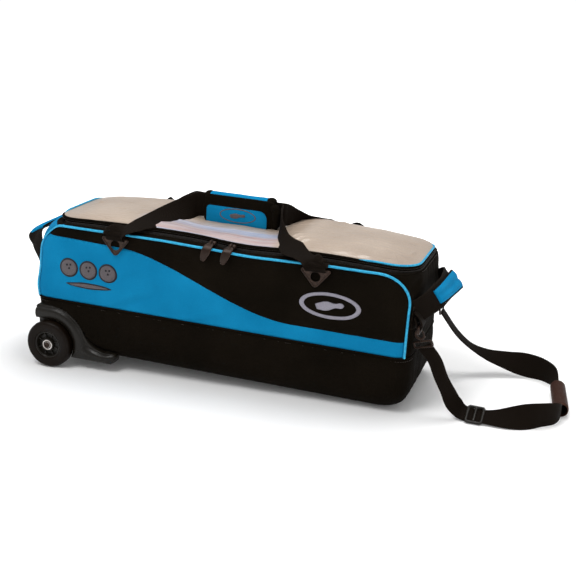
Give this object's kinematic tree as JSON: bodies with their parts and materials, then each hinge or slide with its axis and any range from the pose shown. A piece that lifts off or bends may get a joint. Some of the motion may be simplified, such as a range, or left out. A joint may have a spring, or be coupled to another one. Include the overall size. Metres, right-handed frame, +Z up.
{
  "type": "rolling bowling bag",
  "caption": "Long wheeled tote for bowling balls with a clear zipped lid, wrapped carry handles, end grab handles and a clip-on pull strap.",
  "frame": {"origin": "centre of the flat underside of the base", "axes": "+Z up from the base, +X along the bag from the wheels towards the pull strap, -Y towards the front panel"},
  "size_m": [1.1578, 0.3187, 0.393],
  "materials": {
    "blue_fabric": "plain-weave polyester, matte",
    "blue_cord": "smooth vinyl-covered piping cord, satin",
    "black_fabric": "coarse plain-weave polyester, matte",
    "webbing": "flat woven polypropylene webbing",
    "zip_coil": "moulded nylon coil",
    "clear_vinyl": "clear vinyl sheet that looks milky over the lining, glossy",
    "dark_metal": "gunmetal plate, satin",
    "bright_steel": "ground steel",
    "black_plastic": "moulded, semi-gloss",
    "tyre_rubber": "moulded polyurethane tyre, satin",
    "board": "extruded sheet",
    "foam": "closed-cell foam",
    "grip_rubber": "moulded sleeve, matte"
  },
  "bodies": {
    "bag_body": {"base_tub": "black_fabric", "base_board": "board", "foam_ball_tray": "foam", "front_panel_blue": "blue_fabric", "front_panel_black": "black_fabric", "rear_panel": "black_fabric", "left_end_panel": "blue_fabric", "right_end_panel": "black_fabric", "top_gusset": "black_fabric", "front_piping": "blue_cord", "rear_piping": "blue_cord", "zipper_chain_body": "zip_coil", "wheel_housing_front": "black_plastic", "wheel_housing_rear": "black_plastic", "axle_pin_front": "bright_steel", "axle_pin_rear": "bright_steel", "corner_patch_front": "webbing", "corner_patch_rear": "webbing", "ring_tab_front_left": "webbing", "ring_tab_front_right": "webbing", "ring_tab_rear_left": "webbing", "ring_tab_rear_right": "webbing"},
    "lid": {"lid_band": "black_fabric", "lid_window": "clear_vinyl", "lid_piping": "blue_cord", "zipper_chain_lid": "zip_coil"},
    "carry_front": {"carry_strap_front": "webbing", "handle_wrap_front": "black_fabric", "handle_wrap_patch": "blue_fabric"},
    "carry_rear": {"carry_strap_rear": "webbing", "handle_wrap_rear": "black_fabric"},
    "slider_left": {"zipper_slider_left": "dark_metal"},
    "slider_right": {"zipper_slider_right": "dark_metal"},
    "pull_left": {"zipper_pull_left": "dark_metal"},
    "pull_right": {"zipper_pull_right": "dark_metal"},
    "wheel_front": {"wheel_tyre_front": "tyre_rubber", "wheel_hub_front": "black_plastic", "wheel_bearing_outer_front": "bright_steel", "wheel_bearing_inner_front": "bright_steel"},
    "wheel_rear": {"wheel_tyre_rear": "tyre_rubber", "wheel_hub_rear": "black_plastic", "wheel_bearing_outer_rear": "bright_steel", "wheel_bearing_inner_rear": "bright_steel"},
    "left_handle": {"left_handle_webbing": "webbing", "left_handle_pad": "blue_fabric"},
    "right_handle": {"right_handle_webbing": "webbing", "right_handle_pad": "blue_fabric"},
    "pull_strap": {"strap_ring_front": "dark_metal", "strap_ring_rear": "dark_metal", "snap_hook_front": "dark_metal", "snap_hook_rear": "dark_metal", "pull_strap_webbing": "webbing", "tri_glide": "black_plastic", "pull_grip": "grip_rubber"},
    "gate_front": {"hook_gate_front": "dark_metal"},
    "gate_rear": {"hook_gate_rear": "dark_metal"},
    "ring_front_left": {"side_ring_front_left": "dark_metal"},
    "ring_front_right": {"side_ring_front_right": "dark_metal"},
    "ring_rear_left": {"side_ring_rear_left": "dark_metal"},
    "ring_rear_right": {"side_ring_rear_right": "dark_metal"}
  },
  "joints": [
    {"name": "lid_hinge", "type": "hinge", "parent": "bag_body", "child": "lid", "pos_m": [0, 0.113, 0.2885], "axis": [-1, 0, 0], "range_deg": [0, 105], "deforming": ["carry_strap_front", "carry_strap_rear"]},
    {"name": "carry_front_swing", "type": "hinge", "parent": "bag_body", "child": "carry_front", "pos_m": [0, -0.138, 0.29], "axis": [-1, 0, 0], "range_deg": [-219.4, 0]},
    {"name": "carry_rear_swing", "type": "hinge", "parent": "bag_body", "child": "carry_rear", "pos_m": [0, 0.138, 0.29], "axis": [-1, 0, 0], "range_deg": [0, 219.4]},
    {"name": "wheel_front_spin", "type": "hinge", "parent": "bag_body", "child": "wheel_front", "pos_m": [-0.365, -0.14, 0.02], "axis": [0, 1, 0], "continuous": true},
    {"name": "wheel_rear_spin", "type": "hinge", "parent": "bag_body", "child": "wheel_rear", "pos_m": [-0.365, 0.14, 0.02], "axis": [0, 1, 0], "continuous": true},
    {"name": "slider_left_slide", "type": "slide", "parent": "bag_body", "child": "slider_left", "axis": [1, 0, 0], "range_m": [-0.15, 0]},
    {"name": "slider_right_slide", "type": "slide", "parent": "bag_body", "child": "slider_right", "axis": [1, 0, 0], "range_m": [0, 0.125]},
    {"name": "pull_left_flip", "type": "hinge", "parent": "slider_left", "child": "pull_left", "pos_m": [-0.008, -0.129, 0.291], "axis": [1, 0, 0], "range_deg": [-150, 0]},
    {"name": "pull_right_flip", "type": "hinge", "parent": "slider_right", "child": "pull_right", "pos_m": [0.034, -0.129, 0.291], "axis": [1, 0, 0], "range_deg": [-150, 0]},
    {"name": "left_handle_lift", "type": "hinge", "parent": "bag_body", "child": "left_handle", "pos_m": [-0.409, 0, 0.222], "axis": [0, 1, 0], "range_deg": [-60, 33], "stiffness_Nm_per_rad": 0.6, "deforming": ["left_handle_webbing"]},
    {"name": "right_handle_lift", "type": "hinge", "parent": "bag_body", "child": "right_handle", "pos_m": [0.409, 0, 0.222], "axis": [0, -1, 0], "range_deg": [-60, 33], "stiffness_Nm_per_rad": 0.6, "deforming": ["right_handle_webbing"]},
    {"name": "pull_strap_lift", "type": "hinge", "parent": "bag_body", "child": "pull_strap", "pos_m": [0.416, 0, 0.184], "axis": [0, -1, 0], "range_deg": [0, 80]},
    {"name": "gate_front_open", "type": "hinge", "parent": "pull_strap", "child": "gate_front", "pos_m": [0.42549, -0.112, 0.16624], "axis": [0, -1, 0], "range_deg": [0, 10], "stiffness_Nm_per_rad": 0.02},
    {"name": "gate_rear_open", "type": "hinge", "parent": "pull_strap", "child": "gate_rear", "pos_m": [0.42549, 0.112, 0.16624], "axis": [0, -1, 0], "range_deg": [0, 10], "stiffness_Nm_per_rad": 0.02},
    {"name": "ring_front_left_swing", "type": "hinge", "parent": "bag_body", "child": "ring_front_left", "pos_m": [-0.212, -0.139, 0.267], "axis": [1, 0, 0], "range_deg": [-95, 0]},
    {"name": "ring_front_right_swing", "type": "hinge", "parent": "bag_body", "child": "ring_front_right", "pos_m": [0.212, -0.139, 0.267], "axis": [1, 0, 0], "range_deg": [-95, 0]},
    {"name": "ring_rear_left_swing", "type": "hinge", "parent": "bag_body", "child": "ring_rear_left", "pos_m": [-0.212, 0.139, 0.267], "axis": [-1, 0, 0], "range_deg": [-95, 0]},
    {"name": "ring_rear_right_swing", "type": "hinge", "parent": "bag_body", "child": "ring_rear_right", "pos_m": [0.212, 0.139, 0.267], "axis": [-1, 0, 0], "range_deg": [-95, 0]}
  ],
  "couplings": [
    {"joint": "carry_front_swing", "follows": "lid_hinge", "ratio": -2.08},
    {"joint": "carry_rear_swing", "follows": "lid_hinge", "ratio": 2.08}
  ]
}
